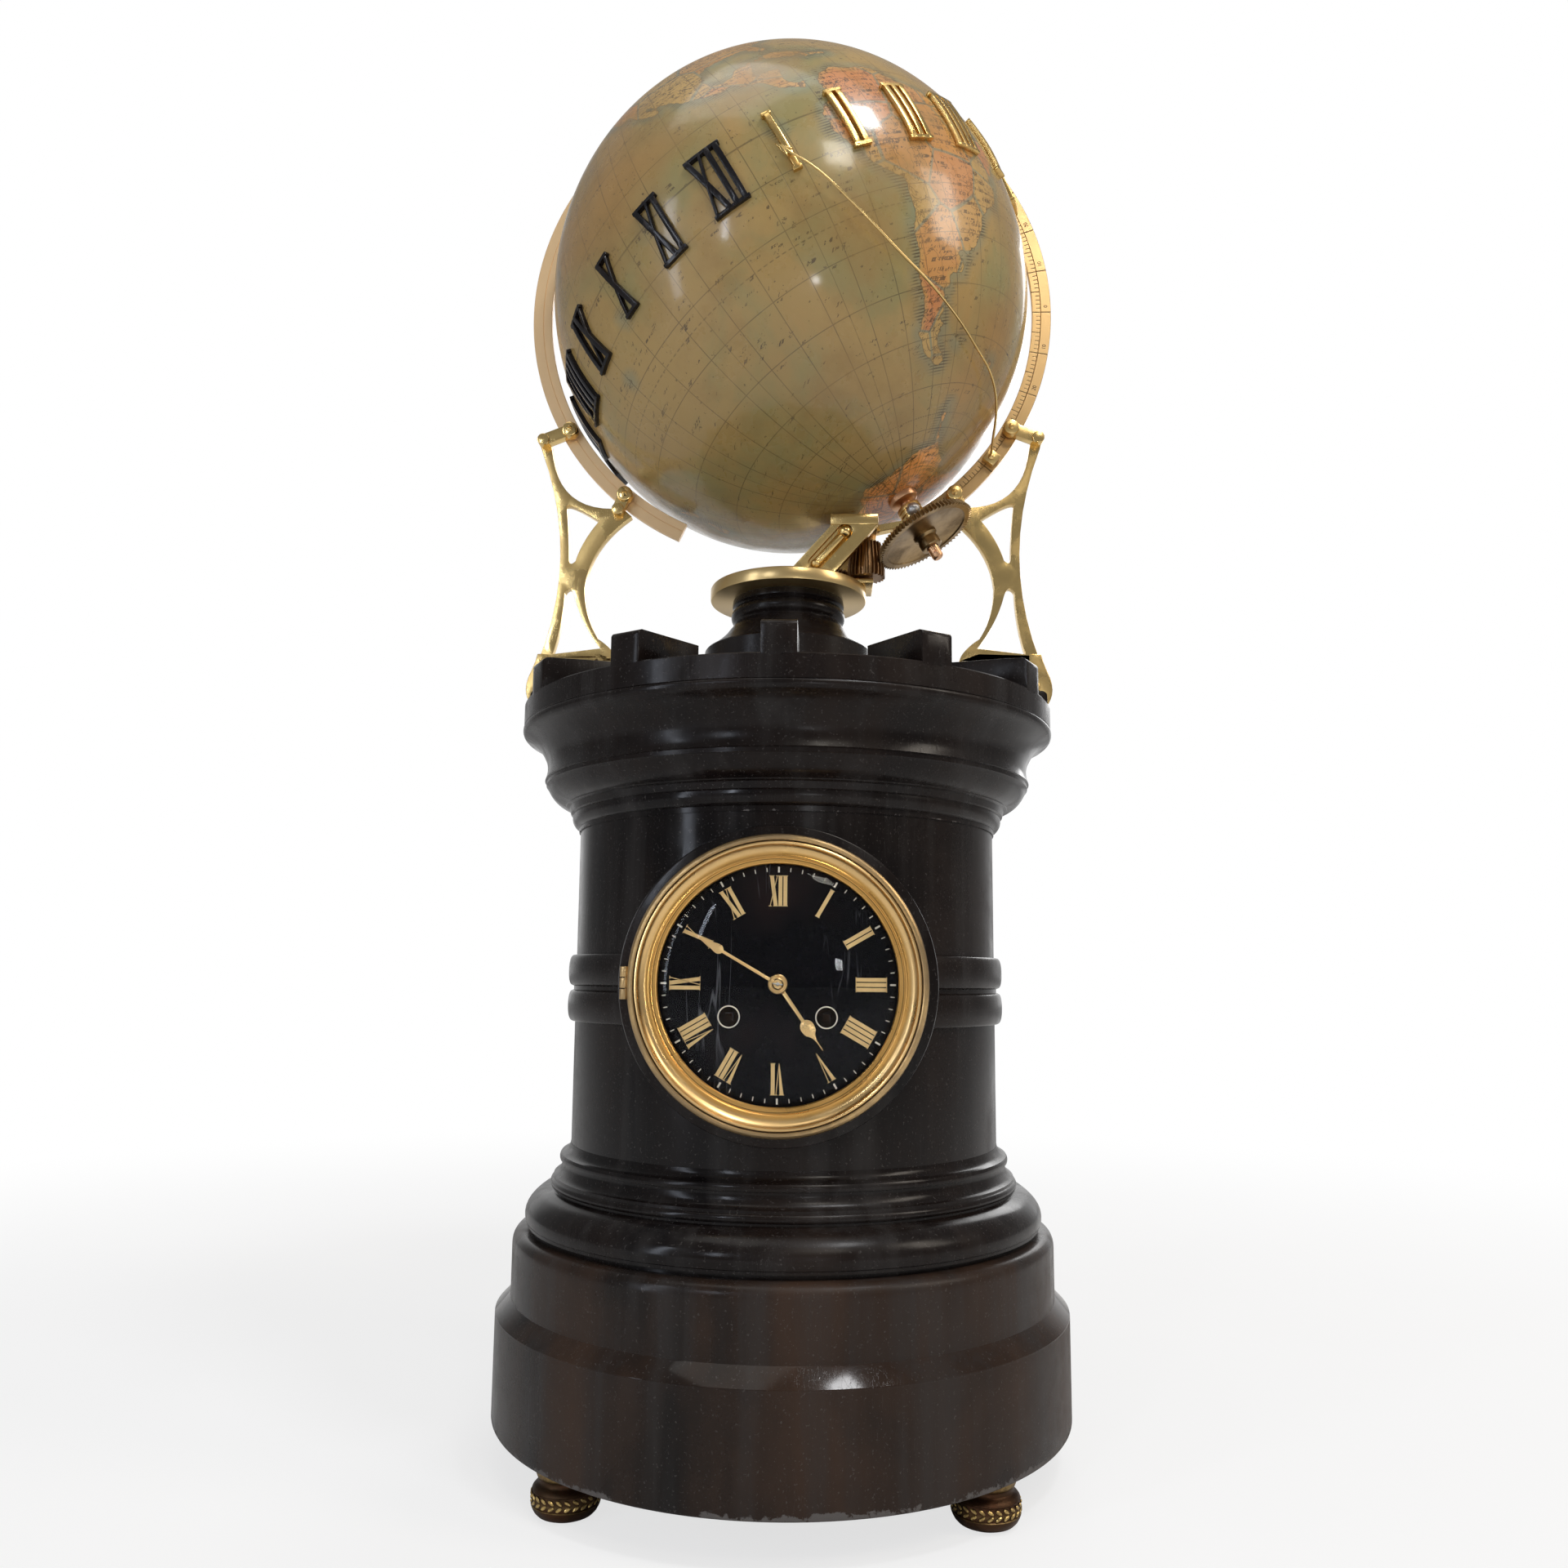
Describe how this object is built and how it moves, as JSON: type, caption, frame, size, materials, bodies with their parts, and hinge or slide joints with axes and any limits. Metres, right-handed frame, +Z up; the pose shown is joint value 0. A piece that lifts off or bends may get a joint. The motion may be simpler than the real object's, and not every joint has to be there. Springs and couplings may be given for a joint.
{
  "type": "globe clock",
  "caption": "Round black slate clock tower with battlements, carrying a tilted geared terrestrial globe with raised numerals, a graduated meridian ring and a wire pointer.",
  "frame": {"origin": "on the ground under the middle of the four feet, the bottom centre of the bounding box", "axes": "+Z up, the dial faces -Y, +X to the right of the dial, where the globe's south pole leans"},
  "size_m": [0.2893, 0.282, 0.739],
  "materials": {
    "slate": "polished black slate",
    "dark_bronze": "dark brown patina",
    "brass": "aged lacquered brass",
    "gilt": "gilt, satin turned",
    "steel": "plain turned",
    "map_paper": "varnished printed paper",
    "black_gloss": "gloss black",
    "clear_glass": "clear convex"
  },
  "bodies": {
    "case": {"plinth": "slate", "base_step": "slate", "base_moulding": "slate", "tower_drum": "slate", "cornice": "slate", "battlement": "slate", "pedestal": "slate", "pedestal_flange": "brass", "foot_front_left": "dark_bronze", "foot_front_right": "dark_bronze", "foot_rear_left": "dark_bronze", "foot_rear_right": "dark_bronze", "dial": "black_gloss", "front_plate": "brass", "back_plate": "brass", "bell": "brass", "globe_bracket": "brass", "graduated_ring": "brass", "left_ring_bracket": "brass", "right_ring_bracket": "brass"},
    "bezel": {"bezel": "gilt", "dial_glass": "clear_glass"},
    "globe": {"globe": "map_paper", "polar_arbor": "brass", "globe_wheel": "brass", "numeral_day_01": "gilt", "numeral_day_02": "gilt", "numeral_day_03": "gilt", "numeral_day_04": "gilt", "numeral_day_05": "gilt", "numeral_day_06": "gilt", "numeral_day_07": "gilt", "numeral_day_08": "gilt", "numeral_day_09": "gilt", "numeral_day_10": "gilt", "numeral_day_11": "gilt", "numeral_day_12": "gilt", "numeral_night_01": "black_gloss", "numeral_night_02": "black_gloss", "numeral_night_03": "black_gloss", "numeral_night_04": "black_gloss", "numeral_night_05": "black_gloss", "numeral_night_06": "black_gloss", "numeral_night_07": "black_gloss", "numeral_night_08": "black_gloss", "numeral_night_09": "black_gloss", "numeral_night_10": "black_gloss", "numeral_night_11": "black_gloss", "numeral_night_12": "black_gloss"},
    "pinion": {"drive_pinion": "steel"},
    "shaft": {"drive_shaft": "brass"},
    "minute": {"minute_hand": "gilt", "centre_arbor": "steel"},
    "hour": {"hour_hand": "gilt"},
    "going_barrel": {"going_barrel": "brass"},
    "strike_barrel": {"strike_barrel": "brass"},
    "pendulum": {"pendulum": "brass"},
    "pointer": {"hour_pointer": "brass"},
    "rear_door": {"rear_door": "brass"}
  },
  "joints": [
    {"name": "globe_spin", "type": "hinge", "parent": "case", "child": "globe", "pos_m": [0, 0, 0.5944], "axis": [0.4681, -0.123, -0.8751], "continuous": true},
    {"name": "pinion_spin", "type": "hinge", "parent": "case", "child": "pinion", "pos_m": [0.04169, -0.01096, 0.45], "axis": [0, 0, 1], "continuous": true},
    {"name": "shaft_spin", "type": "hinge", "parent": "case", "child": "shaft", "pos_m": [0.02371, -0.00623, 0.35], "axis": [0, 0, 1], "continuous": true},
    {"name": "minute_hand_turn", "type": "hinge", "parent": "case", "child": "minute", "pos_m": [0, -0.11, 0.22369], "axis": [0, 1, 0], "continuous": true},
    {"name": "hour_hand_turn", "type": "hinge", "parent": "case", "child": "hour", "pos_m": [0, -0.11, 0.22369], "axis": [0, 1, 0], "continuous": true},
    {"name": "going_barrel_turn", "type": "hinge", "parent": "case", "child": "going_barrel", "pos_m": [0.02075, -0.08, 0.20979], "axis": [0, 1, 0], "continuous": true},
    {"name": "strike_barrel_turn", "type": "hinge", "parent": "case", "child": "strike_barrel", "pos_m": [-0.02075, -0.08, 0.20979], "axis": [0, 1, 0], "continuous": true},
    {"name": "pendulum_swing", "type": "hinge", "parent": "case", "child": "pendulum", "pos_m": [0, -0.0495, 0.26239], "axis": [0, 1, 0], "range_deg": [-3, 3]},
    {"name": "pointer_slide", "type": "hinge", "parent": "case", "child": "pointer", "pos_m": [0, 0, 0.5944], "axis": [0, 1, 0], "range_deg": [-3, 3]},
    {"name": "bezel_hinge", "type": "hinge", "parent": "case", "child": "bezel", "pos_m": [-0.0658, -0.1131, 0.22369], "axis": [0, 0, -1], "range_deg": [0, 110]},
    {"name": "rear_door_hinge", "type": "hinge", "parent": "case", "child": "rear_door", "pos_m": [0.0582, 0.1121, 0.22369], "axis": [0, 0, -1], "range_deg": [0, 110]}
  ],
  "couplings": [
    {"joint": "pinion_spin", "follows": "globe_spin", "ratio": 3},
    {"joint": "shaft_spin", "follows": "globe_spin", "ratio": -3},
    {"joint": "minute_hand_turn", "follows": "globe_spin", "ratio": 24},
    {"joint": "hour_hand_turn", "follows": "globe_spin", "ratio": 2},
    {"joint": "going_barrel_turn", "follows": "globe_spin", "ratio": 0.5}
  ]
}
